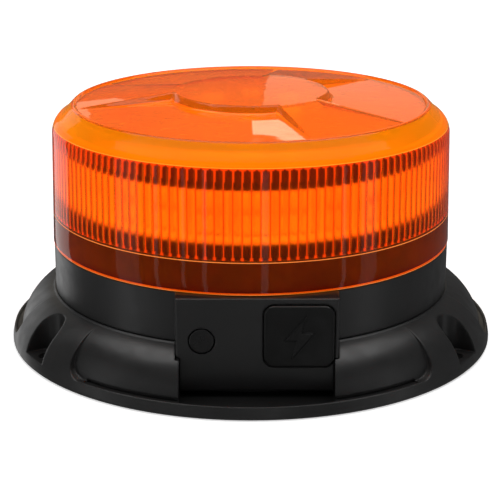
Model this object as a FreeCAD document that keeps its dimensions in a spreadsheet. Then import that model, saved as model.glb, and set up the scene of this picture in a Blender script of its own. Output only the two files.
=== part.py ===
import FreeCAD, Part
import math
import os
import re
import Sketcher
from FreeCAD import Placement, Rotation, Vector

# Amber LED warning beacon: a fluted lens over a ring of LEDs, on a black two-piece base with a
# charging port and a push button. Millimetres, +Z up, origin at the centre of the resting face,
# control panel towards -Y. An azimuth is in degrees from the front (-Y), positive towards +X.

SIZES = {
    # mounting flange and its skirt
    "flange_radius": 76.3, "flange_edge": 1.5, "flange_chamfer": 0.6, "dome_curve": 18.5,
    "skirt_radius": 62.9, "skirt_top": 17.0, "skirt_bevel": 0.3, "skirt_wall_radius": 59.8,
    "floor_low": 2.0, "floor_high": 4.4, "pad_radius": 58.0,
    "panel_curve": 15.1, "panel_radius": 73.4, "panel_corner": 5.0, "sill": 3.9,
    "groove_floor": 3.5, "groove_top": 4.3, "groove_inner": 72.6, "groove_outer": 75.0,
    "pocket_width": 12.0, "pocket_floor": 3.65, "pocket_end": 71.5,
    "bolt_circle_radius": 71.0, "bolt_hole_radius": 2.75,
    "trough_floor": 2.0, "trough_radius": 74.6, "slot_gap": 0.12,
    # housing
    "body_radius": 62.2, "body_wall": 2.6, "body_low": 5.0, "deck_low": 29.6, "deck_high": 32.0,
    "spigot_radius": 59.3, "spigot_wall": 2.4, "spigot_top": 41.4, "plug_radius": 59.5,
    "plug_wall": 2.5, "wire_hole": 12.0,
    # control panel
    "face_y": -63.5, "face_wall": 2.2, "panel_left": -21.5, "panel_right": 25.0,
    "panel_step": 13.8, "panel_high": 31.8, "panel_low": 3.7, "lower_left": -20.35,
    "lower_right": 23.7, "room_left": -19.1, "room_right": 22.8, "edge_round": 0.7,
    # lens
    "lens_radius": 62.4, "lens_top_radius": 61.7, "lens_wall": 2.7, "lens_low": 32.2,
    "lens_wall_top": 66.4, "shoulder_curve": 6.0,
    "rim_radius": 54.6, "rim_height": 74.5, "hub_radius": 24.6, "hub_height": 78.2,
    "lens_crown": 78.6, "sector_height": 75.9, "flute_low": 41.8, "flute_depth": 0.9,
    # button and charge cover
    "button_x": -14.05, "button_z": 19.0, "button_radius": 3.5, "button_gap": 0.4,
    "cover_x": 13.65, "cover_z": 20.55, "cover_width": 20.1, "cover_height": 18.5,
    "cover_round": 3.0, "cover_proud": 1.0, "seat_depth": 1.0, "cover_gap": 0.25,
    "socket_width": 10.6, "socket_height": 4.7,
    # inside the base
    "cell_radius": 9.2, "cell_length": 65.0, "cell_z": 18.4, "cell_y": 4.0, "cell_pitch": 20.0,
    "magnet_circle": 36.0, "magnet_radius": 14.2, "cup_radius": 16.0, "board_thick": 1.6,
    "screw_circle": 54.0, "screw_radius": 1.4, "control_board_y": -54.5,
    # inside the lens
    "column_radius": 47.4, "column_wall": 2.6, "column_top": 68.2, "ledge_radius": 55.6,
    "ledge_low": 41.9, "ledge_high": 44.6, "brow_low": 60.8, "brow_high": 68.0,
    "top_board_radius": 55.0, "top_board_z": 68.6,
}

FLUTES = 144
LED_COLUMNS = 24
LED_ROWS = (49.2, 55.7)
POCKET_AZIMUTHS = (-60, 60, 180)
PANEL_SPANS = ((-45.5, 45.5), (74.5, 165.5), (194.5, 285.5))
GROOVE_INSET = 5.0
LENS_ARMS = (38.3, 150.2, 262.0)
ARM_WIDTH = 40
SCREW_AZIMUTHS = (90, 210, 330)
THIRDS = (60, 180, 300)

UPRIGHT = Rotation()
ALONG_X = Rotation(Vector(0, 1, 0), 90)
ALONG_Y = Rotation(Vector(1, 0, 0), -90)

doc = FreeCAD.newDocument("amber_beacon")
sheet = doc.addObject("Spreadsheet::Sheet", "Dims")
for row, (alias, size) in enumerate(SIZES.items(), start=1):
    sheet.set(f"A{row}", alias)
    sheet.set(f"B{row}", str(size))
    sheet.setAlias(f"B{row}", alias)
doc.recompute()

nodes = {}


# ---------------------------------------------------------------- helpers

def linked(formula):
    """The formula with every dimension's name turned into a reference to its cell."""
    def cell(match):
        word = match.group()
        return f"Dims.{word}" if word in SIZES else word
    return re.sub(r"[a-z_]+", cell, str(formula))


def value(formula):
    """The formula's number, worked out from the sheet."""
    result = sheet.evalExpression(linked(formula))
    return float(getattr(result, "Value", result))


def swung(x, y, azimuth):
    """Formulas for the point (x, y), named as if at the front, turned to an azimuth."""
    turned_x = f"({x}) * cos({azimuth}) - ({y}) * sin({azimuth})"
    turned_y = f"({x}) * sin({azimuth}) + ({y}) * cos({azimuth})"
    return turned_x, turned_y


def solid(kind, name, at, rotation=UPRIGHT, **sizes):
    """A Part primitive whose sizes and place follow the sheet."""
    obj = doc.addObject(f"Part::{kind}", name)
    obj.Placement = Placement(Vector(), rotation)
    for prop, formula in sizes.items():
        obj.setExpression(prop, linked(formula))
    for axis, formula in zip("xyz", at):
        obj.setExpression(f"Placement.Base.{axis}", linked(formula))
    return obj


def block(name, x, y, z, azimuth=0):
    """A box between low and high formulas on each axis, turned to an azimuth."""
    corner = (*swung(x[0], y[0], azimuth), z[0])
    return solid("Box", name, corner, Rotation(Vector(0, 0, 1), azimuth),
                 Length=f"({x[1]}) - ({x[0]})", Width=f"({y[1]}) - ({y[0]})",
                 Height=f"({z[1]}) - ({z[0]})")


def rod(name, radius, at, length, rotation=UPRIGHT):
    """A cylinder from its end point, along +Z unless rotated."""
    return solid("Cylinder", name, at, rotation, Radius=radius, Height=length)


def rod_at(name, radius, circle, azimuth, low, high):
    """An upright cylinder centred on a circle about the axis."""
    return rod(name, radius, (*swung(0, f"-({circle})", azimuth), low), f"({high}) - ({low})")


def fuse(name, *shapes):
    obj = doc.addObject("Part::MultiFuse", name)
    obj.Shapes = list(shapes)
    return obj


def group(name, *shapes):
    """Separate solids kept together as one node."""
    obj = doc.addObject("Part::Compound", name)
    obj.Links = list(shapes)
    return obj


def cut(name, base, *tools):
    obj = doc.addObject("Part::Cut", name)
    obj.Base = base
    obj.Tool = tools[0] if len(tools) == 1 else fuse(f"{name}_tools", *tools)
    return obj


def common(name, base, tool):
    obj = doc.addObject("Part::Common", name)
    obj.Base = base
    obj.Tool = tool
    return obj


def node(name, obj):
    """Registers a finished sub-part under the name of its file."""
    obj.Label = name
    nodes[name] = obj
    return obj


def arc_between(start, end, radius):
    """The sketch arc from start to end. A positive radius turns left, a negative one right."""
    chord = end - start
    reach = math.sqrt(max(radius * radius - chord.Length ** 2 / 4, 0))
    left = Vector(-chord.y, chord.x, 0).normalize()
    centre = (start + end) / 2 + left * math.copysign(reach, radius)
    first, last = (start, end) if radius > 0 else (end, start)
    angles = [math.atan2(p.y - centre.y, p.x - centre.x) for p in (first, last)]
    return Part.ArcOfCircle(Part.Circle(centre, Vector(0, 0, 1), abs(radius)), *angles)


def sketch(body, plane, corners, offset="0"):
    """A closed outline on one of the body's own planes. Each corner is (x, y), or (x, y, radius)
    where an arc leads to the next corner, all as formulas that the constraints keep."""
    outline = body.newObject("Sketcher::SketchObject", f"{body.Name}_outline")
    origin_plane = next(f for f in body.Origin.OriginFeatures if f.Role == plane)
    outline.AttachmentSupport = (origin_plane, [""])
    outline.MapMode = "FlatFace"
    outline.setExpression("AttachmentOffset.Base.z", linked(offset))
    points = [Vector(value(c[0]), value(c[1]), 0) for c in corners]
    ends = []
    for i, corner in enumerate(corners):
        start, end = points[i], points[(i + 1) % len(points)]
        if len(corner) == 3:
            radius = value(corner[2])
            outline.addGeometry(arc_between(start, end, radius), False)
            index = outline.addConstraint(Sketcher.Constraint("Radius", i, abs(radius)))
            outline.setExpression(f"Constraints[{index}]", linked(f"abs({corner[2]})"))
            ends.append((1, 2) if radius > 0 else (2, 1))
        else:
            outline.addGeometry(Part.LineSegment(start, end), False)
            ends.append((1, 2))
    for i, corner in enumerate(corners):
        following = (i + 1) % len(corners)
        outline.addConstraint(Sketcher.Constraint("Coincident", i, ends[i][1],
                                                  following, ends[following][0]))
        for kind, formula, axis in (("DistanceX", corner[0], -2), ("DistanceY", corner[1], -1)):
            distance = value(formula)
            if abs(distance) < 1e-9:
                outline.addConstraint(Sketcher.Constraint("PointOnObject", i, ends[i][0], axis))
                continue
            constraint = Sketcher.Constraint(kind, -1, 1, i, ends[i][0], distance)
            index = outline.addConstraint(constraint)
            outline.setExpression(f"Constraints[{index}]", linked(formula))
    return outline


def turned(name, corners, angle=360):
    """A body revolved about Z from (radius, height) corners. A part turn starts at the front."""
    body = doc.addObject("PartDesign::Body", name)
    profile = sketch(body, "XZ_Plane", corners)
    sweep = body.newObject("PartDesign::Revolution", f"{name}_turn")
    sweep.Profile = profile
    sweep.ReferenceAxis = (profile, ["V_Axis"])
    sweep.Angle = angle
    return body


def padded(name, plane, corners, start, length):
    """A body padded from an outline, along the plane's normal."""
    body = doc.addObject("PartDesign::Body", name)
    pad = body.newObject("PartDesign::Pad", f"{name}_pad")
    pad.Profile = sketch(body, plane, corners, start)
    pad.setExpression("Length", linked(length))
    return body


def soften(body, radius, chosen):
    """Rounds the chosen edges of the body's last feature."""
    doc.recompute()
    last = body.Tip
    names = [f"Edge{i}" for i, edge in enumerate(last.Shape.Edges, start=1) if chosen(edge)]
    fillet = body.newObject("PartDesign::Fillet", f"{body.Name}_round")
    fillet.Base = (last, names)
    fillet.setExpression("Radius", linked(radius))
    return body


def lies_at(edge, axis, place):
    """Whether the whole edge lies at one coordinate."""
    box = edge.BoundBox
    low, high = getattr(box, f"{axis}Min"), getattr(box, f"{axis}Max")
    return abs(low - place) < 1e-3 and abs(high - place) < 1e-3


def rounded_rectangle(x, z, width, height, corner):
    """Corners of an upright rectangle with round corners, going clockwise."""
    left, right = f"{x} - ({width}) / 2", f"{x} + ({width}) / 2"
    low, high = f"{z} - ({height}) / 2", f"{z} + ({height}) / 2"
    return [
        (left, f"{low} + {corner}"), (left, f"{high} - {corner}", f"-({corner})"),
        (f"{left} + {corner}", high), (f"{right} - {corner}", high, f"-({corner})"),
        (right, f"{high} - {corner}"), (right, f"{low} + {corner}", f"-({corner})"),
        (f"{right} - {corner}", low), (f"{left} + {corner}", low, f"-({corner})"),
    ]


def screw(name, at, rotation, shank, length, head, head_height):
    """A screw with its head's outer face at a point, its shank running along the rotated +Z."""
    turn = Placement(Vector(), rotation)
    axis = turn.multVec(Vector(0, 0, 1))
    neck = [f"{p} + ({head_height}) * ({c:.6f})" for p, c in zip(at, axis)]
    body = fuse(name, rod(f"{name}_head", head, at, head_height, rotation),
                rod(f"{name}_shank", shank, neck, length, rotation))
    slot = rod(f"{name}_drive", f"({head}) * 0.45", at, f"({head_height}) * 0.6", rotation)
    return cut(f"{name}_cut", body, slot)


# ---------------------------------------------------------------- base

def make_mounting_flange():
    """The wide foot: a domed skirt with recessed panels, bolt pockets, a floor and magnet wells."""
    core = turned("flange_core", [
        ("0", "floor_low"), ("pad_radius + 0.2", "floor_low"), ("pad_radius + 0.2", "0"),
        ("flange_radius - flange_chamfer", "0"), ("flange_radius", "flange_chamfer"),
        ("flange_radius", "flange_edge", "dome_curve"),
        ("skirt_radius", "skirt_top - skirt_bevel"), ("skirt_radius - skirt_bevel", "skirt_top"),
        ("skirt_wall_radius", "skirt_top"), ("skirt_wall_radius", "floor_high"), ("0", "floor_high"),
    ])
    wells = [rod_at(f"well_{a}", "cup_radius + 2", "magnet_circle", a, "floor_high - 0.5",
                    "floor_high + 3.8") for a in THIRDS]
    posts = [rod(f"driver_post_{i}", 2.6, (x, 44, "floor_high - 0.5"), 8.1)
             for i, x in enumerate((-17, 21))]
    body = fuse("flange_body", core, *wells, *posts)
    recesses = [cutter for i, span in enumerate(PANEL_SPANS) for cutter in panel_recess(i, span)]
    return node("mounting_flange", cut("flange_cut", body, *recesses, *flange_cutters()))


def sector(name, first, last):
    """A wedge between two azimuths, wider and taller than the skirt."""
    return solid("Cylinder", name, (0, 0, 0), Rotation(Vector(0, 0, 1), first - 90),
                 Radius="flange_radius + 10", Height="skirt_top + 5", Angle=last - first)


def panel_recess(index, span):
    """What is cut away to leave one recessed panel: the recess with its two round corners, and
    the groove under the panel's lower edge."""
    ring = turned(f"recess_ring_{index}", [
        ("skirt_radius", "skirt_top - skirt_bevel", "-panel_curve"), ("panel_radius", "sill"),
        ("flange_radius + 5", "sill"), ("flange_radius + 5", "skirt_top + 1"),
        ("skirt_radius", "skirt_top + 1"),
    ])
    recess = common(f"recess_{index}", ring, sector(f"recess_sector_{index}", *span))
    doc.recompute()
    rounded = doc.addObject("Part::Fillet", f"recess_rounded_{index}")
    rounded.Base = recess
    corner = value("panel_corner")
    rounded.Edges = [(i, corner, corner) for i, edge in enumerate(recess.Shape.Edges, start=1)
                     if lies_at(edge, "Z", value("sill")) and isinstance(edge.Curve, Part.Line)]
    groove_ring = cut(f"groove_ring_{index}",
                      rod(f"groove_disc_{index}", "groove_outer", (0, 0, "groove_floor"),
                          "groove_top - groove_floor"),
                      rod(f"groove_bore_{index}", "groove_inner", (0, 0, 0), "groove_top + 1"))
    inset = (span[0] + GROOVE_INSET, span[1] - GROOVE_INSET)
    groove = common(f"groove_{index}", groove_ring, sector(f"groove_sector_{index}", *inset))
    return rounded, groove


def flange_cutters():
    """The bolt pockets and holes, magnet wells, screw holes, and the bay for the control panel."""
    tools = []
    for azimuth in POCKET_AZIMUTHS:
        name = f"pocket_{azimuth % 360}"
        tools.append(rod_at(f"{name}_end", "pocket_width / 2", "pocket_end", azimuth,
                            "pocket_floor", 22))
        tools.append(block(f"{name}_bay", ("-pocket_width / 2", "pocket_width / 2"),
                           (-82, "-pocket_end"), ("pocket_floor", 22), azimuth))
        tools.append(rod_at(f"{name}_hole", "bolt_hole_radius", "bolt_circle_radius", azimuth, -1, 5))
    for azimuth in THIRDS:
        tools.append(rod_at(f"well_bore_{azimuth}", "cup_radius + 0.2", "magnet_circle", azimuth,
                            1, "floor_high + 2.6"))
    for azimuth in SCREW_AZIMUTHS:
        tools.append(rod_at(f"base_screw_hole_{azimuth}", "screw_radius + 0.15", "screw_circle",
                            azimuth, 1, "floor_high + 2"))
        tools.append(rod_at(f"base_screw_seat_{azimuth}", 3.1, "screw_circle", azimuth, 1, 3.5))
    for i, x in enumerate((-17, 21)):
        tools.append(rod(f"driver_hole_{i}", 1.05, (x, 44, 6), 8))
    bay_box = fuse("bay_box",
                   block("bay_low", ("lower_left - slot_gap", "lower_right + slot_gap"), (-90, -40),
                         ("trough_floor", 25)),
                   block("bay_high", ("panel_left - slot_gap", "panel_right + slot_gap"),
                         (-90, -40), ("panel_step - slot_gap", 25)))
    bay_disc = rod("bay_disc", "trough_radius", (0, 0, 0), 30)
    inner = rod("bay_inner", "skirt_wall_radius", (0, 0, -1), 40)
    tools.append(cut("bay", common("bay_front", bay_box, bay_disc), inner))
    return tools


def make_base_housing():
    """The upright wall with its deck and lens spigot, and the flat-faced control panel."""
    shell = turned("housing_shell", [
        ("plug_radius - plug_wall", "body_low"), ("plug_radius", "body_low"),
        ("plug_radius", "skirt_top + 0.2"), ("body_radius", "skirt_top + 0.2"),
        ("body_radius", "deck_high"), ("spigot_radius", "deck_high"),
        ("spigot_radius", "deck_high + 3.4"), ("spigot_radius - 1.2", "deck_high + 3.4"),
        ("spigot_radius - 1.2", "deck_high + 5.4"), ("spigot_radius", "deck_high + 5.4"),
        ("spigot_radius", "spigot_top"), ("spigot_radius - spigot_wall", "spigot_top"),
        ("spigot_radius - spigot_wall", "deck_high"), ("wire_hole", "deck_high"),
        ("wire_hole", "deck_low"), ("body_radius - body_wall", "deck_low"),
        ("body_radius - body_wall", "skirt_top + 3.2"),
        ("plug_radius - plug_wall", "skirt_top + 1"),
    ])
    upper = padded("panel_upper", "YZ_Plane", [
        ("face_y", "panel_step"), ("-50", "panel_step"), ("-50", "panel_high + 0.2"),
        ("face_y + 2.2", "panel_high + 0.2"), ("face_y", "panel_high - 0.2"),
    ], "panel_left", "panel_right - panel_left")
    lower = padded("panel_lower", "YZ_Plane", [
        ("face_y", "panel_low"), ("-50", "panel_low"), ("-50", "panel_step + 1"),
        ("face_y", "panel_step + 1"),
    ], "lower_left", "lower_right - lower_left")
    face = value("face_y")
    soften(upper, "edge_round", lambda edge: lies_at(edge, "Y", face) and not
           lies_at(edge, "Z", value("panel_step")))
    soften(lower, "edge_round", lambda edge: lies_at(edge, "Y", face) and
           lies_at(edge, "Z", value("panel_low")))
    clear = rod("panel_clear", "skirt_wall_radius + 0.2", (0, 0, 0), "body_low")
    hollow = rod("panel_hollow", "plug_radius - plug_wall", (0, 0, "body_low - 1"),
                 "deck_low - body_low + 1")
    front = cut("panel_front", fuse("panel_both", upper, lower), clear, hollow)
    bosses = [rod_at(f"base_boss_{a}", 3.6, "screw_circle", a, "body_low", "body_low + 11")
              for a in SCREW_AZIMUTHS]
    room = block("control_room", ("room_left", "room_right"), ("face_y + face_wall", -48),
                 ("panel_low + 2.2", "deck_low - 0.6"))
    shell_and_front = cut("housing_open", fuse("housing_fused", shell, front, *bosses), room)
    posts = [rod(f"control_post_{i}", 2.0, (x, "face_y + face_wall - 0.5", z),
                 "control_board_y - face_y - face_wall + 0.5", ALONG_Y)
             for i, (x, z) in enumerate(control_post_places())]
    body = fuse("housing_body", shell_and_front, *posts)
    return node("base_housing", cut("housing_cut", body, *housing_cutters()))


def control_post_places():
    """Where the control board is screwed down, as (x, z) pairs."""
    return [(-16.4, 9.2), (20.2, 9.2), (-16.4, 26.4), (1.0, 26.4)]


def housing_cutters():
    """The openings for the button, the socket, the cover's seat and the screws."""
    tools = [
        rod("button_bore", "button_radius + button_gap", ("button_x", -70, "button_z"), 12, ALONG_Y),
        block("socket_mouth", ("cover_x - socket_width / 2", "cover_x + socket_width / 2"),
              (-70, -60), ("cover_z - socket_height / 2", "cover_z + socket_height / 2")),
        padded("cover_seat", "XZ_Plane",
               rounded_rectangle("cover_x", "cover_z", "cover_width + 2 * cover_gap",
                                 "cover_height + 2 * cover_gap", "cover_round + cover_gap"),
               "-face_y - seat_depth", "seat_depth + 3"),
        block("anchor_slot", ("cover_x - 3.2", "cover_x + 3.2"), ("face_y - 1", -60),
              ("cover_z - cover_height / 2 + 0.9", "cover_z - cover_height / 2 + 2.5")),
    ]
    tools += [rod_at(f"boss_hole_{a}", "screw_radius + 0.02", "screw_circle", a, 3,
                     "body_low + 9") for a in SCREW_AZIMUTHS]
    tools += [rod(f"post_hole_{i}", 0.82, (x, "control_board_y - 4.2", z), 6, ALONG_Y)
              for i, (x, z) in enumerate(control_post_places())]
    tools += [rod_at(f"carrier_hole_{a}", 1.42, 37.5, a, "deck_low - 1", "deck_high + 1")
              for a in THIRDS]
    return tools


def make_base_small_parts():
    """Pad, seal, magnets and screws under the base."""
    node("rubber_base_pad", rod("pad", "pad_radius", (0, 0, 0), "floor_low"))
    node("base_seal", cut("base_seal_ring", rod("seal_disc", "plug_radius - 0.2",
                                                (0, 0, "floor_high"), "body_low - floor_high"),
                          rod("seal_bore", "plug_radius - plug_wall + 0.2", (0, 0, 4), 2)))
    cups = [cut(f"cup_{a}",
                rod_at(f"cup_disc_{a}", "cup_radius", "magnet_circle", a, "floor_low + 0.1", 6.9),
                rod_at(f"cup_bore_{a}", "magnet_radius + 0.2", "magnet_circle", a, 1, 5.9))
            for a in THIRDS]
    node("magnet_cups", group("magnet_cup_group", *cups))
    node("magnets", group("magnet_group", *[
        rod_at(f"magnet_{a}", "magnet_radius", "magnet_circle", a, "floor_low + 0.1", 5.85)
        for a in THIRDS]))
    node("base_screws", group("base_screw_group", *[
        screw(f"base_screw_{a}", (*swung(0, "-screw_circle", a), "floor_low + 0.1"), UPRIGHT,
              "screw_radius", 9.5, 2.9, 1.4) for a in SCREW_AZIMUTHS]))


# ---------------------------------------------------------------- lens

def flute_ring():
    """The ring of half-round ribs inside the lens wall, one face per rib. Its outline of many
    equal arcs comes from the rib count, so it is a plain shape and not a sketch."""
    root = value("lens_radius - lens_wall + 0.2")
    depth = value("flute_depth")
    step = 2 * math.pi / FLUTES
    edges = []
    for i in range(FLUTES):
        points = [Vector(r * math.cos(a), r * math.sin(a), 0)
                  for r, a in ((root, i * step), (root - depth, (i + 0.5) * step),
                               (root, (i + 1) * step))]
        edges.append(Part.Arc(*points).toShape())
    ribs = Part.Face(Part.Wire(edges))
    disc = Part.Face(Part.Wire(Part.Circle(Vector(), Vector(0, 0, 1), root + 0.4).toShape()))
    face = disc.cut(ribs).Faces[0]
    ring = doc.addObject("Part::Feature", "flute_ring")
    ring.Shape = face.extrude(Vector(0, 0, value("rim_height - 6 - flute_low")))
    ring.Placement = Placement(Vector(0, 0, value("flute_low")), UPRIGHT)
    return ring


def make_lens():
    """The amber cap: plain skirt, fluted wall, bevelled shoulder, and a raised hub with arms."""
    shell = turned("lens_shell", [
        ("lens_radius", "lens_low"), ("lens_top_radius", "lens_wall_top", "shoulder_curve"),
        ("lens_top_radius - 1.6", "lens_wall_top + 3.4"), ("rim_radius + 0.9", "rim_height + 0.1"),
        ("rim_radius + 0.4", "rim_height + 0.45"), ("rim_radius - 0.2", "rim_height + 0.45"),
        ("rim_radius - 0.7", "rim_height"), ("hub_radius", "hub_height"),
        ("0", "lens_crown"), ("0", "lens_crown - 4.8"), ("hub_radius", "sector_height - 2.2"),
        ("rim_radius - 0.9", "rim_height - 2.3"), ("lens_top_radius - 3.3", "lens_wall_top + 2.4"),
        ("lens_radius - lens_wall + 0.2", "lens_wall_top - 0.6"),
        ("lens_radius - lens_wall + 0.2", "flute_low"),
        ("lens_radius - lens_wall", "flute_low"), ("lens_radius - lens_wall", "lens_low"),
    ])
    body = fuse("lens_fluted", shell, flute_ring())
    sectors = []
    for i, arm in enumerate(LENS_ARMS):
        start = arm + ARM_WIDTH / 2
        end = LENS_ARMS[(i + 1) % len(LENS_ARMS)] - ARM_WIDTH / 2
        sector = turned(f"sector_{i}", [
            ("hub_radius", "sector_height"), ("rim_radius - 0.7", "rim_height"),
            ("rim_radius - 0.7", "rim_height + 3"), ("hub_radius", "hub_height + 3"),
        ], (end - start) % 360)
        sector.Placement = Placement(Vector(), Rotation(Vector(0, 0, 1), start - 90))
        sectors.append(sector)
    node("lens", cut("lens_cut", body, *sectors))
    node("lens_seal", solid("Torus", "lens_seal_ring", (0, 0, "deck_high + 4.4"),
                            Radius1="spigot_radius - 0.4", Radius2="0.76"))


# ---------------------------------------------------------------- controls

def make_button():
    """The push button, its seal ring, and the switch it presses."""
    x, z = "button_x", "button_z"
    wall = "face_y + face_wall"
    button = fuse("button_body",
                  rod("button_cap", "button_radius", (x, "face_y - 0.1", z), "face_wall + 0.3",
                      ALONG_Y),
                  rod("button_collar", "button_radius + 1.1", (x, f"{wall} + 0.5", z), 0.9,
                      ALONG_Y),
                  rod("button_stem", 1.6, (x, f"{wall} + 0.3", z), 1.4, ALONG_Y),
                  rod("button_core", 3.2, (x, f"{wall} - 0.4", z), 1.2, ALONG_Y))
    node("power_button", button)
    node("button_seal", cut("button_seal_ring",
                            rod("button_seal_disc", "button_radius + 1.1", (x, f"{wall} + 0.02", z),
                                0.42, ALONG_Y),
                            rod("button_seal_bore", "button_radius + 0.1", (x, -64, z), 5, ALONG_Y)))
    board = "control_board_y"
    case = block("switch_body", (f"{x} - 3", f"{x} + 3"), (f"{board} - 3.4", board),
                 (f"{z} - 3", f"{z} + 3"))
    well = rod("switch_well", 1.8, (x, f"{board} - 4", z), 1.7, ALONG_Y)
    node("tact_switch", cut("switch_case", case, well))
    node("switch_plunger", rod("plunger", 1.7, (x, f"{wall} + 1.72", z),
                               f"{board} - 3.2 - ({wall}) - 1.72", ALONG_Y))


def make_charge_port():
    """The soft cover with its plug and sign, its anchor, and the socket behind it."""
    front = "-face_y + cover_proud"
    plate = padded("cover_plate", "XZ_Plane",
                   rounded_rectangle("cover_x", "cover_z", "cover_width", "cover_height",
                                     "cover_round"),
                   "-face_y - seat_depth + 0.05", "cover_proud + seat_depth - 0.05")
    face = value(f"-({front})")
    soften(plate, "0.7", lambda edge: lies_at(edge, "Y", face))
    plug = block("cover_plug", ("cover_x - 4.9", "cover_x + 4.9"),
                 ("face_y + seat_depth - 0.2", "face_y + face_wall + 0.1"),
                 ("cover_z - 1.7", "cover_z + 1.7"))
    sign = padded("cover_sign", "XZ_Plane", bolt_outline(), f"{front} - 0.3", "1.1")
    node("usb_cover", fuse("cover_body", plate, plug, sign))
    low = "cover_z - cover_height / 2"
    node("cover_anchor", block("anchor", ("cover_x - 3", "cover_x + 3"),
                               ("face_y + seat_depth + 0.1", "face_y + face_wall + 1.4"),
                               (f"{low} + 1.1", f"{low} + 2.3")))
    mouth = "face_y + face_wall + 0.3"
    shell = cut("port_shell_body",
                block("port_shell_outer", ("cover_x - 4.47", "cover_x + 4.47"),
                      (mouth, "control_board_y"), ("cover_z - 1.65", "cover_z + 1.65")),
                block("port_shell_inner", ("cover_x - 4.15", "cover_x + 4.15"),
                      (-70, "control_board_y - 0.8"), ("cover_z - 1.3", "cover_z + 1.3")))
    node("usb_port_shell", shell)
    node("usb_port_tongue", block("tongue", ("cover_x - 3.3", "cover_x + 3.3"),
                                  (f"{mouth} + 0.8", "control_board_y - 0.8"),
                                  ("cover_z - 0.35", "cover_z + 0.35")))


def bolt_outline():
    """A plain lightning bolt, the generic sign for charging, centred on the cover."""
    shape = ((2.0, 6.4), (0.6, 1.3), (4.2, 1.3), (-2.0, -6.4), (-0.6, -0.9), (-4.2, -0.9))
    return [(f"cover_x + {x}", f"cover_z + {z}") for x, z in shape]


def make_control_board():
    """The upright board behind the panel, its chips and its screws."""
    back = "control_board_y + board_thick"
    board = block("control_plate", (-18.6, 22.3), ("control_board_y", back), (6.8, 28.6))
    holes = [rod(f"control_hole_{i}", 1.1, (x, "control_board_y - 1", z), 4, ALONG_Y)
             for i, (x, z) in enumerate(control_post_places())]
    node("control_board", cut("control_board_cut", board, *holes))
    chips = [block(f"control_chip_{i}", (x, x + w), (back, f"{back} + {d}"), (z, z + w))
             for i, (x, z, w, d) in enumerate(((-9, 12, 7, 1.2), (4, 20, 5, 1.0), (8, 10, 4, 2.0),
                                               (-4, 21, 3, 0.9), (14, 15, 5, 1.4)))]
    node("control_board_chips", group("control_chip_group", *chips))
    flip = Rotation(Vector(1, 0, 0), 90)
    node("control_screws", group("control_screw_group", *[
        screw(f"control_screw_{i}", (x, f"{back} + 1.1", z), flip, 0.8, 4.8, 1.8, 1.1)
        for i, (x, z) in enumerate(control_post_places())]))


# ---------------------------------------------------------------- battery and driver

def make_battery():
    """Two cells in a tray, with their strap and end contacts."""
    ys = ("cell_y", "cell_y + cell_pitch")
    for name, y in zip(("battery_cell_front", "battery_cell_rear"), ys):
        body = rod(f"{name}_can", "cell_radius", ("-cell_length / 2", y, "cell_z"), "cell_length",
                   ALONG_X)
        tip = rod(f"{name}_tip", 2.8, ("cell_length / 2 - 0.1", y, "cell_z"), 0.55, ALONG_X)
        node(name, fuse(f"{name}_body", body, tip))
    front, rear = "cell_y - cell_radius - 2.3", "cell_y + cell_pitch + cell_radius + 2.3"
    tray = cut("tray_body", block("tray_outer", (-37, 37), (front, rear), (8.4, 16)),
               block("tray_inner", (-35.4, 35.4), (f"{front} + 1.5", f"{rear} - 1.5"), (9, 20)))
    node("battery_tray", tray)
    strap = cut("strap_body", block("strap_outer", (-6, 6), (f"{front} - 0.8", f"{rear} + 0.8"),
                                    (8.4, 28.5)),
                block("strap_inner", (-7, 7), (f"{front} - 0.1", f"{rear} + 0.1"), (8, 27.8)))
    node("battery_strap", strap)
    contacts = [block(f"contact_{i}", x, ("cell_y - 5", "cell_y + cell_pitch + 5"), (12, 24))
                for i, x in enumerate(((-33.2, -32.6), (33.0, 33.6)))]
    node("battery_contacts", group("contact_group", *contacts))
    wires = [rod(f"wire_{i}", 0.9, (x, -9.6, 20), "top_board_z - 20.2") for i, x in enumerate((-3, 0, 3))]
    node("lead_harness", group("wire_group", *wires))


def make_driver():
    """The LED driver board at the back of the base."""
    low = "floor_high + 7.6"
    board = block("driver_plate", (-21, 25), (38, 50.5), (low, f"{low} + board_thick"))
    holes = [rod(f"driver_pass_{i}", 1.4, (x, 44, 8), 8) for i, x in enumerate((-17, 21))]
    node("driver_board", cut("driver_board_cut", board, *holes))
    top = f"{low} + board_thick"
    coil = rod("driver_coil", 4.2, (-7, 44.5, top), 4.5)
    can = rod("driver_can", 3.2, (3.5, 44.5, top), 8)
    chip = block("driver_chip", (10, 16), (41, 47), (top, f"{top} + 1.4"))
    node("driver_board_parts", group("driver_part_group", coil, can, chip))
    node("driver_screws", group("driver_screw_group", *[
        screw(f"driver_screw_{i}", (x, 44, f"{top} + 1.3"), Rotation(Vector(1, 0, 0), 180), 1.0, 6,
              2.2, 1.3) for i, x in enumerate((-17, 21))]))


# ---------------------------------------------------------------- light engine

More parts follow.
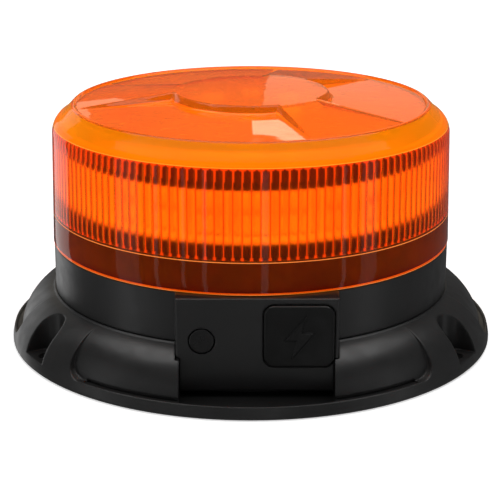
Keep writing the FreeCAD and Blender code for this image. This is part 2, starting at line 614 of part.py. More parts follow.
def make_light_engine():
    """The black carrier with the LED ring, its reflector and heat sink, under the top board."""
    bore = "column_radius - column_wall"
    carrier = turned("carrier_body", [
        ("33", "deck_high"), ("column_radius", "deck_high"), ("column_radius", "ledge_low"),
        ("ledge_radius", "ledge_low"), ("ledge_radius", "ledge_high"),
        ("column_radius", "ledge_high"), ("column_radius", "brow_low"),
        ("ledge_radius - 0.8", "brow_low"), ("ledge_radius - 0.8", "brow_high"),
        ("column_radius", "brow_high"), ("column_radius", "column_top"), (bore, "column_top"),
        (bore, "deck_high + 2"), ("33", "deck_high + 2"),
    ])
    holes = [rod_at(f"foot_hole_{a}", 1.6, 37.5, a, "deck_high - 1", "deck_high + 3")
             for a in THIRDS]
    sockets = [rod_at(f"top_hole_{a}", 0.62, f"{bore} + 1.3", a, "column_top - 5", "column_top + 1")
               for a in THIRDS]
    node("led_carrier", cut("carrier_cut", carrier, *holes, *sockets))
    node("carrier_screws", group("carrier_screw_group", *[
        screw(f"carrier_screw_{a}", (*swung(0, -37.5, a), "deck_high + 3.3"),
              Rotation(Vector(1, 0, 0), 180), 1.4, 3.2, 2.8, 1.3) for a in THIRDS]))
    node("led_strip_board", tube("strip", "column_radius + 0.1", "column_radius + 0.9",
                                 45.8, 59.1))
    chip_back = "column_radius + 0.9"
    chips = [block(f"led_{i}_{row}", (-1.75, 1.75), (f"-({chip_back}) - 1.1", f"-({chip_back})"),
                   (z - 1.75, z + 1.75), i * 360 / LED_COLUMNS)
             for i in range(LED_COLUMNS) for row, z in enumerate(LED_ROWS)]
    node("leds", group("led_group", *chips))
    fins = [block(f"reflector_fin_{i}", (-0.5, 0.5),
                  ("3 - ledge_radius", f"-({chip_back}) - 0.15"),
                  ("ledge_high + 0.4", "brow_low - 0.4"), (i + 0.5) * 360 / LED_COLUMNS)
            for i in range(LED_COLUMNS)]
    lower = tube("reflector_lower", f"{chip_back} + 0.1", "ledge_radius - 1.2", "ledge_high + 0.05",
                 "ledge_high + 0.85")
    upper = tube("reflector_upper", f"{chip_back} + 0.1", "ledge_radius - 2", "brow_low - 0.85",
                 "brow_low - 0.05")
    node("led_reflector", fuse("reflector_body", lower, upper, *fins))
    sink_fins = [block(f"sink_fin_{i}", (-0.8, 0.8), (f"4.2 - ({bore})", f"12 - ({bore})"),
                       (36, 59), i * 30) for i in range(12)]
    sink = tube("sink_tube", f"{bore} - 4.5", f"{bore} - 0.15", 36, 59)
    node("heat_sink", fuse("sink_body", sink, *sink_fins))


def tube(name, inner, outer, low, high):
    """A plain upright tube."""
    return cut(name, rod(f"{name}_outer", outer, (0, 0, low), f"({high}) - ({low})"),
               rod(f"{name}_inner", inner, (0, 0, f"({low}) - 1"), f"({high}) - ({low}) + 2"))


def make_top_board():
    """The white board under the lens's top, with its spacers, LEDs and screws."""
    circle = "column_radius - column_wall + 1.3"
    top = "top_board_z + board_thick"
    disc = rod("top_disc", "top_board_radius", (0, 0, "top_board_z"), "board_thick")
    holes = [rod_at(f"top_pass_{a}", 1.0, circle, a, "top_board_z - 1", f"{top} + 1")
             for a in THIRDS]
    node("top_board", cut("top_board_cut", disc, *holes))
    node("top_board_spacers", group("spacer_group", *[
        cut(f"spacer_{a}", rod_at(f"spacer_rod_{a}", 2.2, circle, a, "column_top", "top_board_z"),
            rod_at(f"spacer_bore_{a}", 0.9, circle, a, "column_top - 1", "top_board_z + 1"))
        for a in THIRDS]))
    node("top_screws", group("top_screw_group", *[
        screw(f"top_screw_{a}", (*swung(0, f"-({circle})", a), f"{top} + 1.3"),
              Rotation(Vector(1, 0, 0), 180), 0.6, 7, 2.2, 1.3) for a in THIRDS]))
    chips = [block(f"top_led_{i}", (-2.5, 2.5), (-16.5, -11.5), (top, f"{top} + 1.4"), i * 60)
             for i in range(6)]
    node("top_leds", group("top_led_group", *chips))
    plug = block("top_plug", (-5, 5), (-3, 3), (top, f"{top} + 3"))
    cans = [rod(f"top_can_{i}", 1.6, (x, y, top), 2.4)
            for i, (x, y) in enumerate(((19, 9), (21, 4), (-20, -6), (-18, 12)))]
    node("top_board_parts", group("top_part_group", plug, *cans))


# ---------------------------------------------------------------- build, check and write

def check(name, obj):
    """Stops the build if a sub-part is broken or missing."""
    shape = obj.Shape
    if shape.isNull() or not shape.isValid() or not shape.Solids:
        raise RuntimeError(f"{name}: no valid solid")
    return shape


for make in (make_mounting_flange, make_base_housing, make_base_small_parts, make_lens,
             make_button, make_charge_port, make_control_board, make_battery, make_driver,
             make_light_engine, make_top_board):
    make()
doc.recompute()
failed = [o.Name for o in doc.Objects if "Invalid" in o.State or "Error" in o.State]
if failed:
    raise RuntimeError(f"failed objects: {failed}")
os.makedirs("parts", exist_ok=True)
for name, obj in nodes.items():
    check(name, obj).exportStep(f"parts/{name}.step")
print(f"{len(nodes)} sub-parts written")
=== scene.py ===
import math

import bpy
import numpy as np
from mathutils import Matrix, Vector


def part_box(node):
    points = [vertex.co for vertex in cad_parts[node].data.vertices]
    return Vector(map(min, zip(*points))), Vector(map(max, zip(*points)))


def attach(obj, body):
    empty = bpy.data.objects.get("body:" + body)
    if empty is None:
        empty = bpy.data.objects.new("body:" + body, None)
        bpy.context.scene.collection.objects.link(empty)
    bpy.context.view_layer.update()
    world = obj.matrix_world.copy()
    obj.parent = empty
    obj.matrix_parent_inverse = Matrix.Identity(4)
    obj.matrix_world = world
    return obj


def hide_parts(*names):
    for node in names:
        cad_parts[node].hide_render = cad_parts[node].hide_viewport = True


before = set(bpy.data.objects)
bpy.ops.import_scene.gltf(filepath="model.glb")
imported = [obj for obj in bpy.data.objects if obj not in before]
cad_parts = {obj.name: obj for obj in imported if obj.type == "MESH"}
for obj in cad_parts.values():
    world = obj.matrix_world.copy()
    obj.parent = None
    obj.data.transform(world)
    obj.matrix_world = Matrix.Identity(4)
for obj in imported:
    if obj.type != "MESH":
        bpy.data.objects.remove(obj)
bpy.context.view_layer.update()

# Looks for the amber LED warning beacon. Metres, +Z up, control panel towards -Y. An azimuth is
# in degrees from the front (-Y), positive towards +X. The CAD parts stay where they are: this
# script gives them materials, and rebuilds the lens as a finer shell with moulded flutes.

MM = 0.001
lens_low, lens_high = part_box("lens")

# ---------------------------------------------------------------- shader nodes

# Scales of the noise, and of the cells between a board's tracks. At a scale of 1000 the features
# are about a millimetre wide.
FLOOR_SCALE = 3
AMBER_SCALE = 30
PATCH_SCALE = 45
FROST_SCALE = 150
AMBER_GLOSS_SCALE = 160
GLOSS_SCALE = 260
BOARD_GLOSS_SCALE = 400
FROST_GLOSS_SCALE = 500
METAL_SCALE = 900
FROST_GRAIN_SCALE = 1200
TRACK_SCALE = 260

# The mixing nodes' sockets go by number, because several of them share a name.
MIX_SHARE, MIX_FIRST, MIX_SECOND, MIX_RESULT = 0, 6, 7, 2
SHADER_SHARE, SHADER_FIRST, SHADER_SECOND = 0, 1, 2

BEVEL_SAMPLES = 6
# A metal's dark streaks and the amber's light ones, as shares of their own colour.
METAL_SHADE = 0.8
AMBER_LIGHTER = 1.25
# The warm tint of lamp light through the lens. It is also the colour of the LEDs' own light, and
# of the glow painted on parts that are no lamps.
LAMP_TINT = (1.0, 0.8, 0.5)
LED_AND_PAINTED_GLOW = (*LAMP_TINT, 1.0)


def make_node(tree, kind, inputs=(), **settings):
    """A shader node with its settings and inputs. An input is a value or another node's output."""
    made = tree.nodes.new(kind)
    for key, setting in settings.items():
        setattr(made, key, setting)
    for key, given in dict(inputs).items():
        if isinstance(given, bpy.types.NodeSocket):
            tree.links.new(given, made.inputs[key])
        else:
            made.inputs[key].default_value = given
    return made


def start_material(name, **plain):
    """A material and its Principled shader. A plain value goes on the shader's own socket:
    specular_ior_level sets Specular IOR Level."""
    material = bpy.data.materials.new(name)
    material.use_nodes = True
    shader = material.node_tree.nodes["Principled BSDF"]
    for key, given in plain.items():
        socket = key.replace("_", " ").title().replace("Ior", "IOR")
        shader.inputs[socket].default_value = given
    return material, material.node_tree, shader


def object_place(tree):
    return make_node(tree, "ShaderNodeTexCoord").outputs["Object"]


def noise(tree, scale, detail=3.0, stretch=(1, 1, 1), rough=0.5):
    """Noise fixed to the object, from 0 to 1."""
    mapped = make_node(tree, "ShaderNodeMapping", {
        "Vector": object_place(tree), "Scale": stretch})
    made = make_node(tree, "ShaderNodeTexNoise", {
        "Vector": mapped.outputs["Vector"], "Scale": scale, "Detail": detail, "Roughness": rough})
    return made.outputs["Fac"]


def ramp(tree, source, low, high, start=0.3, end=0.7):
    """Goes from low to high as the source goes from start to end."""
    spread = make_node(tree, "ShaderNodeMapRange", {
        "Value": source, "From Min": start, "From Max": end, "To Min": low, "To Max": high})
    return spread.outputs["Result"]


def blend_colours(tree, source, dark, light):
    """A colour between dark and light, by a 0 to 1 value."""
    mixed = make_node(tree, "ShaderNodeMix", {
        MIX_SHARE: source, MIX_FIRST: (*dark, 1), MIX_SECOND: (*light, 1)}, data_type="RGBA")
    return mixed.outputs[MIX_RESULT]


def finish_surface(tree, shader, colour, rough, *bumps, edge=0.0):
    """Links colour and roughness, and bump from (height, strength, distance) layers, one on
    another. Distances, and the radius that rounds the edges under them, are in millimetres."""
    tree.links.new(colour, shader.inputs["Base Color"])
    tree.links.new(rough, shader.inputs["Roughness"])
    normal = None
    if edge:
        rounded = make_node(tree, "ShaderNodeBevel", {"Radius": edge * MM}, samples=BEVEL_SAMPLES)
        normal = rounded.outputs["Normal"]
    for height, strength, distance in bumps:
        inputs = {"Height": height, "Strength": strength, "Distance": distance * MM}
        if normal:
            inputs["Normal"] = normal
        normal = make_node(tree, "ShaderNodeBump", inputs).outputs["Normal"]
    tree.links.new(normal, shader.inputs["Normal"])


# ---------------------------------------------------------------- kinds of material


def grey(level):
    return (level, level, level)


def led_light_and_painted_glow(strength):
    """Sockets for emission: an LED's own light, or a glow painted on a part that is no lamp."""
    return {"emission_color": LED_AND_PAINTED_GLOW, "emission_strength": strength}


def moulded(name, dark, light, rough, grain, depth, specular=0.5, edge=0.0, **plain):
    """Moulded plastic or rubber: fine grain, faint flow patches and uneven gloss."""
    material, tree, shader = start_material(name, specular_ior_level=specular, **plain)
    patches = noise(tree, PATCH_SCALE, 4)
    speckle = noise(tree, grain, 2, rough=0.6)
    finish_surface(tree, shader, blend_colours(tree, ramp(tree, patches, 0, 1), dark, light),
                   ramp(tree, noise(tree, GLOSS_SCALE), *rough),
                   (speckle, 0.5, depth), (patches, 0.15, depth * 4), edge=edge)
    return material


def metal(name, colour, rough, stretch=(1, 1, 1)):
    """Metal with fine brushed or cast variation."""
    material, tree, shader = start_material(name, metallic=1.0)
    streaks = noise(tree, METAL_SCALE, stretch=stretch)
    dark = tuple(c * METAL_SHADE for c in colour)
    finish_surface(tree, shader, blend_colours(tree, streaks, dark, colour),
                   ramp(tree, streaks, *rough), (streaks, 0.2, 0.02))
    return material


def board(name, mask, trace, glow=0.0):
    """A circuit board: solder mask with slightly raised copper tracks under it."""
    material, tree, shader = start_material(name, coat_weight=0.3, **led_light_and_painted_glow(glow))
    cells = make_node(tree, "ShaderNodeTexVoronoi", {
        "Vector": object_place(tree), "Scale": TRACK_SCALE},
        feature="DISTANCE_TO_EDGE", distance="CHEBYCHEV")
    tracks = ramp(tree, cells.outputs["Distance"], 1, 0, 0.04, 0.07)
    finish_surface(tree, shader, blend_colours(tree, tracks, mask, trace),
                   ramp(tree, noise(tree, BOARD_GLOSS_SCALE), 0.3, 0.45), (tracks, 0.3, 0.04))
    return material


AMBER = (1.0, 0.2, 0.003)
RED_AMBER = (1.0, 0.155, 0.003)
# The colour of the glow painted on the lens.
AMBER_GLOW = (1.0, 0.5, 0.0, 1.0)


def amber_plastic(name, clear, rough, wave, ior=1.3, glow=0.0, tint=AMBER):
    """Amber polycarbonate, from clear to milky, with a painted glow where one is given. Lamps
    shine through it, tinted, so that what is inside is lit."""
    material, tree, shader = start_material(name, transmission_weight=clear, ior=ior,
                                            specular_ior_level=0.3, emission_color=AMBER_GLOW,
                                            emission_strength=glow)
    light = tuple(min(c * AMBER_LIGHTER, 1) for c in tint)
    streaks = ramp(tree, noise(tree, AMBER_SCALE, 2), 0, 1)
    finish_surface(tree, shader, blend_colours(tree, streaks, tint, light),
                   ramp(tree, noise(tree, AMBER_GLOSS_SCALE, 2), *rough),
                   (noise(tree, PATCH_SCALE, 2), wave, 0.25))
    through = make_node(tree, "ShaderNodeBsdfTransparent", {"Color": (*LAMP_TINT, 1)})
    path = make_node(tree, "ShaderNodeLightPath")
    mixed = make_node(tree, "ShaderNodeMixShader", {
        SHADER_SHARE: path.outputs["Is Shadow Ray"], SHADER_FIRST: shader.outputs["BSDF"],
        SHADER_SECOND: through.outputs["BSDF"]})
    output = next(n for n in tree.nodes if n.type == "OUTPUT_MATERIAL")
    tree.links.new(mixed.outputs["Shader"], output.inputs["Surface"])
    return material


def amber_surface(name, dark, light, rough, glow=0.0, **plain):
    """Amber plastic where its surface is frosted, or carries a painted glow."""
    material, tree, shader = start_material(name, emission_color=(*light, 1),
                                            emission_strength=glow, **plain)
    mottle = ramp(tree, noise(tree, FROST_SCALE), 0, 1)
    finish_surface(tree, shader, blend_colours(tree, mottle, dark, light),
                   ramp(tree, noise(tree, FROST_GLOSS_SCALE, 2), *rough),
                   (noise(tree, FROST_GRAIN_SCALE, 2), 0.3, 0.05))
    return material


# ---------------------------------------------------------------- materials of the parts

black_shell = moulded("black_abs", grey(0.013), (0.0165, 0.0165, 0.017), rough=(0.3, 0.4),
                      grain=2600, depth=0.02, specular=0.55, edge=0.8)
black_button = moulded("black_button", grey(0.006), grey(0.008), rough=(0.26, 0.36),
                       grain=3200, depth=0.02, specular=0.55, edge=0.6)
black_rubber = moulded("black_rubber", grey(0.002), grey(0.003), rough=(0.3, 0.42),
                       grain=3600, depth=0.02, edge=0.7)
black_carrier = moulded("black_carrier", grey(0.008), grey(0.014), rough=(0.4, 0.55),
                        grain=2200, depth=0.04)
black_parts = moulded("black_parts", grey(0.012), grey(0.03), rough=(0.4, 0.6),
                      grain=1800, depth=0.03)
# The reflector, the white nylon parts and the white board carry a painted glow. The LEDs give off
# light of their own.
white_reflector = moulded("reflector_painted_glow", (0.82, 0.81, 0.79), (0.92, 0.91, 0.9),
                          rough=(0.12, 0.25), grain=1500, depth=0.02, **led_light_and_painted_glow(0.7))
white_nylon = moulded("white_nylon", (0.8, 0.8, 0.78), (0.88, 0.88, 0.86),
                      rough=(0.3, 0.45), grain=1500, depth=0.02, **led_light_and_painted_glow(0.4))
white_board = board("white_board", (0.86, 0.86, 0.84), (0.7, 0.7, 0.68), 0.4)
green_board = board("green_board", (0.02, 0.16, 0.05), (0.05, 0.3, 0.1))
led_phosphor = moulded("led_phosphor", (0.85, 0.6, 0.1), (0.95, 0.75, 0.2),
                       rough=(0.25, 0.4), grain=2500, depth=0.03, **led_light_and_painted_glow(0.9))
cell_wrap = moulded("cell_wrap", (0.02, 0.12, 0.35), (0.03, 0.16, 0.42),
                    rough=(0.25, 0.4), grain=900, depth=0.02)
wire_red = moulded("wire_insulation", (0.5, 0.02, 0.015), (0.6, 0.03, 0.02),
                   rough=(0.35, 0.5), grain=1500, depth=0.02)
strap_weave = moulded("strap_weave", grey(0.01), grey(0.03), rough=(0.7, 0.9),
                      grain=1500, depth=0.1)
steel = metal("plated_steel", (0.62, 0.62, 0.6), rough=(0.25, 0.45))
nickel = metal("nickel_plate", (0.72, 0.69, 0.64), rough=(0.12, 0.28))
aluminium = metal("aluminium", (0.78, 0.79, 0.8), rough=(0.3, 0.5), stretch=(1, 1, 0.05))

# The lens's materials, in the order of their slots on it. It is clear outside and on top, milky
# round the shoulder, rough on the ribs inside, and frosted dark inside the skirt. The shoulder,
# the top, the valleys between the ribs and the glowing and bright lines carry a painted glow.
LENS_FINISHES = {
    "skirt": amber_plastic("amber_skirt", clear=1.0, rough=(0.015, 0.04), wave=0.02, ior=1.25),
    "clear": amber_plastic("amber_clear", clear=0.97, rough=(0.015, 0.05), wave=0.05, ior=1.25,
                           tint=RED_AMBER),
    "shoulder": amber_plastic("amber_shoulder", clear=0.65, rough=(0.03, 0.07), wave=0.3,
                              ior=1.12, glow=0.2),
    "top": amber_plastic("amber_top", clear=0.93, rough=(0.015, 0.04), wave=0.6, ior=1.33,
                         glow=0.05),
    "underside": amber_plastic("amber_underside", clear=0.9, rough=(0.2, 0.3), wave=0.3),
    "ribs": amber_plastic("amber_ribs", clear=0.92, rough=(0.3, 0.4), wave=0.1, tint=RED_AMBER),
    "flanks": amber_plastic("amber_flanks", clear=0.85, rough=(0.4, 0.5), wave=0.1,
                            tint=RED_AMBER),
    "valleys": amber_surface("amber_valleys", (0.8, 0.1, 0.003), (0.9, 0.15, 0.008),
                             rough=(0.3, 0.5), glow=0.45),
    "frosted": amber_surface("amber_frosted", (0.07, 0.007, 0.0003), (0.11, 0.013, 0.0005),
                             rough=(0.3, 0.45), sheen_weight=1.0, sheen_roughness=0.4,
                             sheen_tint=(1.0, 0.3, 0.06, 1.0)),
    "glowing": amber_surface("amber_painted_glow", (1.0, 0.2, 0.01), (1.0, 0.26, 0.02),
                             rough=(0.3, 0.5), glow=0.3),
    "bright": amber_surface("amber_painted_highlight", (1.0, 0.36, 0.01), (1.0, 0.42, 0.02),
                            rough=(0.3, 0.5), glow=0.3),
}

FINISHES = {
    black_shell: ("base_housing", "mounting_flange"),
    black_button: ("power_button",),
    black_rubber: ("usb_cover", "cover_anchor", "rubber_base_pad", "base_seal", "lens_seal",
                   "button_seal"),
    black_carrier: ("led_carrier", "battery_tray"),
    black_parts: ("tact_switch", "switch_plunger", "usb_port_tongue", "control_board_chips",
                  "driver_board_parts"),
    white_reflector: ("led_reflector",),
    white_nylon: ("top_board_parts", "top_screws"),
    white_board: ("led_strip_board", "top_board"),
    green_board: ("control_board", "driver_board"),
    led_phosphor: ("leds", "top_leds"),
    cell_wrap: ("battery_cell_front", "battery_cell_rear"),
    wire_red: ("lead_harness",),
    strap_weave: ("battery_strap",),
    steel: ("base_screws", "control_screws", "driver_screws", "carrier_screws", "magnet_cups"),
    nickel: ("magnets", "usb_port_shell", "battery_contacts", "top_board_spacers"),
    aluminium: ("heat_sink",),
}
for finish, names in FINISHES.items():
    for name in names:
        for material_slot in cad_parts[name].material_slots:
            material_slot.material = finish

# ---------------------------------------------------------------- lens

# Millimetres and degrees. The foot, the crown and the widest radius come from the CAD lens.
lens_r = lens_high.x / MM
foot_z = lens_low.z / MM
crown_z = lens_high.z / MM
rim_z = crown_z - 4.1
hub_z = crown_z - 0.4
shoulder_z = crown_z - 12.2

# The wall. The skirt is its plain lower band, under the ribs.
WALL_TOP_R = 61.7
ROOT_R = 59.9
SKIRT_TOP = 41.8
FROST_R = ROOT_R - 0.2
FROST_TOP = SKIRT_TOP - 0.05
SKIRT_HEIGHTS = (36, 39)
WALL_HEIGHTS = (46, 52, 58, 62, shoulder_z - 1)
# How far in from the widest radius, and above the foot, over the foot's rounded outer edge,
# which carries a painted glow.
FOOT_EDGE = ((0.25, 0, "glowing"), (0.04, 0.1, "glowing"), (0, 0.3, "skirt"))
# A painted glowing line round the wall marks the top of the skirt, from below it to above it.
LINE_BELOW = 0.15
LINE_ABOVE = 0.13

# The bend from the wall to the shoulder, as degrees turned and finish. A painted highlight line
# runs round the middle of it.
BEND_R = 6.0
BEND = ((0, "clear"), (23 / 3, "clear"), (46 / 3, "clear"), (23, "bright"), (25, "shoulder"),
        (92 / 3, "shoulder"), (115 / 3, "shoulder"), (46, "shoulder"))

# Radius, height above the rim, and finish: up the shoulder and over the raised line round the top.
RIM_R = 53.9
SHOULDER = ((58.4, -2.9, "shoulder"), (56.4, -0.75, "shoulder"), (55.6, 0.1, "top"),
            (55.25, 0.38, "top"), (54.9, 0.48, "top"), (54.5, 0.48, "top"), (54.15, 0.32, "top"),
            (RIM_R, 0, "top"))
# The same, from under the rim outwards to the tops of the ribs, past a ring of painted glow.
UNDER_SHOULDER = ((54.6, -2.7, "underside"), (56.4, -4.0, "underside"), (57.8, -5.3, "glowing"),
                  (58.5, -5.9, "flanks"))

# The top: a raised hub and three arms, with a soft step down to the sectors between them.
ARMS = (38.3, 150.2, 262.0)
ARM_HALF_WIDTH = 20
HUB_R = 24.6
SECTOR_RISE = 1.4
SOFT_STEP = 2.2
TOP_WALL = 2.3
# Closer together where the hub steps down.
TOP_RADII = (*np.arange(53, 28, -1), *np.arange(27.7, 21.5, -0.3), 20, 16, 12, 8, 4, 0.6)

# The ribs inside the wall, and the quarter round that they run into at the top.
FLUTES = 144
STEPS_PER_FLUTE = 8
RIB_DEPTH = 0.6
RIB_FOOT = 1.4
# Closer together at the ribs' rounded foot.
RIB_HEIGHTS = (64.5, 61, 56, 51, 46, 43.6, 43.1, 42.7, 42.4, 42.15, 41.95)
WIDE_VALLEY_TOP = SKIRT_TOP + 1
ROUND_R, ROUND_RISE = UNDER_SHOULDER[-1][:2]
ROUND_HEIGHT = 2.7
ROUND_STEPS = 9
# An edge that turns by more than this stays sharp.
SHARP_ANGLE = 42
# Radii closer than this are the same one.
HAIR = 1e-6

columns = FLUTES * STEPS_PER_FLUTE
azimuths = np.arange(columns) * 2 * math.pi / columns
even = np.ones(columns)


def smooth_step(x):
    x = np.clip(x, 0, 1)
    return x * x * (3 - 2 * x)


def raised_share(radius):
    """How far each column stands up at a radius: 1 on the hub and arms, 0 in a sector."""
    share = smooth_step((HUB_R - radius) / SOFT_STEP + 0.5) * even
    for arm in ARMS:
        off = np.abs((np.degrees(azimuths) - arm + 180) % 360 - 180)
        inside = radius * np.sin(np.radians(np.clip(ARM_HALF_WIDTH - off, -90, 90)))
        share = np.maximum(share, smooth_step(inside / SOFT_STEP + 0.5))
    return share


def top_height(radius):
    """The lens's upper surface inside its rim, one height per column."""
    along = (RIM_R - radius) / (RIM_R - HUB_R)
    sector = rim_z + SECTOR_RISE * min(along, 1)
    if radius > HUB_R:
        raised = rim_z + (hub_z - rim_z) * along
    else:
        raised = hub_z + (crown_z - hub_z) * (1 - (radius / HUB_R) ** 2)
    return sector + (raised - sector) * raised_share(radius)


def rib_depth(height):
    """How far the ribs stand in from the wall, one depth per column, rounded at the foot."""
    across = (azimuths * FLUTES / (2 * math.pi) - 0.5 / STEPS_PER_FLUTE) % 1
    rise = min(max((height - SKIRT_TOP) / RIB_FOOT, 0), 1)
    foot = math.sqrt(1 - (1 - rise) ** 2)
    return RIB_DEPTH * foot * np.sin(math.pi * across)


def wall_radius(height):
    """The outside of the wall, which tapers from the foot to the shoulder."""
    return lens_r + (WALL_TOP_R - lens_r) * (height - foot_z) / (shoulder_z - foot_z)


def lens_rings():
    """Rings of (radius, height) arrays from the foot up the outside, over the crown, and back
    down the inside, each with the finish of the band that follows it."""
    rings = []

    def ring(radius, height, finish):
        rings.append((radius * even, height * even, finish))

    for inset, rise, finish in FOOT_EDGE:
        ring(lens_r - inset, foot_z + rise, finish)
    for height in SKIRT_HEIGHTS:
        ring(wall_radius(height), height, "skirt")
    ring(wall_radius(SKIRT_TOP), SKIRT_TOP - LINE_BELOW, "glowing")
    ring(wall_radius(SKIRT_TOP), SKIRT_TOP + LINE_ABOVE, "clear")
    for height in WALL_HEIGHTS:
        ring(wall_radius(height), height, "clear")
    for degrees, finish in BEND:
        turn = math.radians(degrees)
        ring(WALL_TOP_R - BEND_R * (1 - math.cos(turn)), shoulder_z + BEND_R * math.sin(turn),
             finish)
    for radius, rise, finish in SHOULDER:
        ring(radius, rim_z + rise, finish)
    for radius in TOP_RADII:
        ring(radius, top_height(radius), "top")
    for radius in reversed(TOP_RADII):
        ring(radius, top_height(radius) - TOP_WALL, "underside")
    for radius, rise, finish in UNDER_SHOULDER:
        ring(radius, rim_z + rise, finish)
    for step in range(1, ROUND_STEPS + 1):
        turn = math.radians(90 * step / ROUND_STEPS)
        height = rim_z + ROUND_RISE - ROUND_HEIGHT * (1 - math.cos(turn))
        radius = ROUND_R + (ROOT_R - ROUND_R) * math.sin(turn)
        ring(np.minimum(radius, ROOT_R - rib_depth(height)), height, "rib_tops")
    for height in RIB_HEIGHTS:
        ring(ROOT_R - rib_depth(height), height, "ribs")
    # The ledge at the ribs' foot and the underside of the foot carry a painted glow.
    ring(ROOT_R, SKIRT_TOP, "glowing")
    ring(FROST_R, FROST_TOP, "frosted")
    ring(FROST_R, foot_z, "glowing")
    return rings


def band_finishes(radii, heights, finish):
    """The finish of each column's face in a band, as slot numbers. The valleys between ribs carry
    a painted glow, and are wider near their foot."""
    slots = {name: slot for slot, name in enumerate(LENS_FINISHES)}
    if finish == "rib_tops":
        between_ribs = radii > radii.max() - HAIR
        return np.where(between_ribs, slots["valleys"], slots["flanks"])
    band = np.full(columns, slots[finish])
    if finish == "ribs":
        place = np.arange(columns) % STEPS_PER_FLUTE
        off_valley = np.minimum(place, STEPS_PER_FLUTE - place)
        shining = 2 if heights[0] < WIDE_VALLEY_TOP else 1
        band[off_valley == shining] = slots["flanks"]
        band[off_valley < shining] = slots["valleys"]
    return band


def build_lens():
    """The amber cap as one closed shell."""
    rings = lens_rings()
    near = np.arange(columns)
    far = (near + 1) % columns
    crown = max(i for i, (_, _, finish) in enumerate(rings) if finish == "top")
    points = []
    faces = []
    slots = []
    for i, (radii, heights, finish) in enumerate(rings):
        points.append(np.stack([radii * np.sin(azimuths), -radii * np.cos(azimuths), heights], 1))
        if i == crown:
            continue
        here, there = i * columns, (i + 1) % len(rings) * columns
        faces += np.stack([here + near, here + far, there + far, there + near], 1).tolist()
        slots += band_finishes(radii, heights, finish).tolist()
    caps = (crown * columns + near, (crown + 1) * columns + near[::-1])
    faces += [cap.tolist() for cap in caps]
    slots += [list(LENS_FINISHES).index(finish) for finish in ("top", "underside")]
    mesh = bpy.data.meshes.new("amber_lens")
    mesh.from_pydata((np.concatenate(points) * MM).tolist(), [], faces)
    for finish in LENS_FINISHES.values():
        mesh.materials.append(finish)
    mesh.polygons.foreach_set("material_index", slots)
    mesh.shade_smooth()
    mesh.set_sharp_from_angle(angle=math.radians(SHARP_ANGLE))
    mesh.validate()
    lens = bpy.data.objects.new("amber_lens", mesh)
    bpy.context.scene.collection.objects.link(lens)
    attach(lens, "base")
    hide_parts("lens")


build_lens()

# ---------------------------------------------------------------- studio

WHITE = (1.0, 1.0, 1.0)
WARM = (1.0, 0.85, 0.6)
FLOOR_HALF = 6.0
FLOOR_Z = -0.1 * MM
WORLD_STRENGTH = 0.1
AIM = Vector((0, 0, 0.05))
CAMERA_PLACE = (-0.00027, -0.48397, 0.17945)
CAMERA_DIP = 0.307
CAMERA_LENS = 114.2

# Name, azimuth, elevation and distance from the aim, width, height, radiance, colour. Those low
# down show as reflections in the upright walls, which the camera looks down at.
SOFTBOXES = [
    ("overhead", 180, 86, 1.1, 2.0, 0.9, 2.1, WHITE),
    ("back_glow", 170, 13, 1.1, 0.34, 0.2, 0.45, WARM),
    ("back_far_glow", -162, 16, 1.1, 0.3, 0.15, 0.7, WARM),
    ("back_window", 175.7, 20.4, 1.1, 0.15, 0.022, 2.2, WARM),
    ("back_left", -140, -3, 1.2, 0.6, 1.0, 0.8, WHITE),
    ("left_side", -72, -3, 1.2, 0.34, 1.2, 0.6, WHITE),
    ("right_side", 68, -3, 1.2, 0.22, 1.2, 0.6, WHITE),
]
# Azimuth and width of the narrow lamps that show as upright lines.
STRIPS = ((-53, 0.05), (-37, 0.04), (-25, 0.05), (7.5, 0.08), (52, 0.05))
for azimuth, width in STRIPS:
    SOFTBOXES.append((f"strip_{round(azimuth) % 360}", azimuth, -5, 1.2, width, 1.0, 1.0, WHITE))


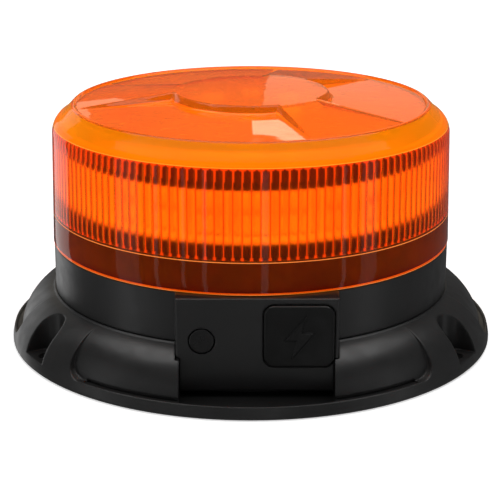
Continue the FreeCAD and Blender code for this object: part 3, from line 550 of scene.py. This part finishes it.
def add_floor():
    """A plain pale floor, a hair under the feet so that no faces coincide. Reflections don't
    show it, because some of the lamps reach below it."""
    mesh = bpy.data.meshes.new("studio_floor")
    corners = [(x * FLOOR_HALF, y * FLOOR_HALF, FLOOR_Z)
               for x, y in ((-1, -1), (1, -1), (1, 1), (-1, 1))]
    mesh.from_pydata(corners, [], [(0, 1, 2, 3)])
    material, tree, shader = start_material("studio_floor", roughness=0.9, specular_ior_level=0.1,
                                            emission_color=(*WHITE, 1), emission_strength=0.6)
    colour = blend_colours(tree, noise(tree, FLOOR_SCALE, 2), grey(0.93), grey(0.96))
    tree.links.new(colour, shader.inputs["Base Color"])
    mesh.materials.append(material)
    floor = bpy.data.objects.new("studio_floor", mesh)
    floor.visible_glossy = False
    bpy.context.scene.collection.objects.link(floor)


def add_softbox(name, azimuth, elevation, distance, width, height, radiance, colour):
    """A rectangular lamp facing the aim. It looks as bright at any size, because its power
    follows from its area."""
    turn, rise = math.radians(azimuth), math.radians(elevation)
    data = bpy.data.lights.new(name, "AREA")
    data.shape = "RECTANGLE"
    data.size = width
    data.size_y = height
    data.energy = radiance * math.pi * width * height
    data.color = colour
    lamp = bpy.data.objects.new(name, data)
    lamp.visible_camera = False
    flat = distance * math.cos(rise)
    lamp.location = AIM + Vector((flat * math.sin(turn), -flat * math.cos(turn),
                                  distance * math.sin(rise)))
    lamp.rotation_euler = (AIM - lamp.location).to_track_quat("-Z", "Y").to_euler()
    bpy.context.scene.collection.objects.link(lamp)


def add_world():
    """Even light from all round, in front of a white backdrop."""
    world = bpy.data.worlds.new("studio")
    world.use_nodes = True
    tree = world.node_tree
    background = tree.nodes["Background"]
    seen = make_node(tree, "ShaderNodeLightPath").outputs["Is Camera Ray"]
    tree.links.new(ramp(tree, seen, WORLD_STRENGTH, 1, 0, 1), background.inputs["Strength"])
    background.inputs["Color"].default_value = (*WHITE, 1)
    bpy.context.scene.world = world


def add_camera():
    """The camera stands in front of the control panel and looks a little down at the beacon."""
    data = bpy.data.cameras.new("camera")
    data.sensor_width = 36
    data.lens = CAMERA_LENS
    camera = bpy.data.objects.new("camera", data)
    camera.location = CAMERA_PLACE
    camera.rotation_euler = (math.pi / 2 - CAMERA_DIP, 0, 0)
    bpy.context.scene.collection.objects.link(camera)
    bpy.context.scene.camera = camera


add_floor()
add_world()
for softbox in SOFTBOXES:
    add_softbox(*softbox)
add_camera()
bpy.context.scene.view_settings.view_transform = "Standard"
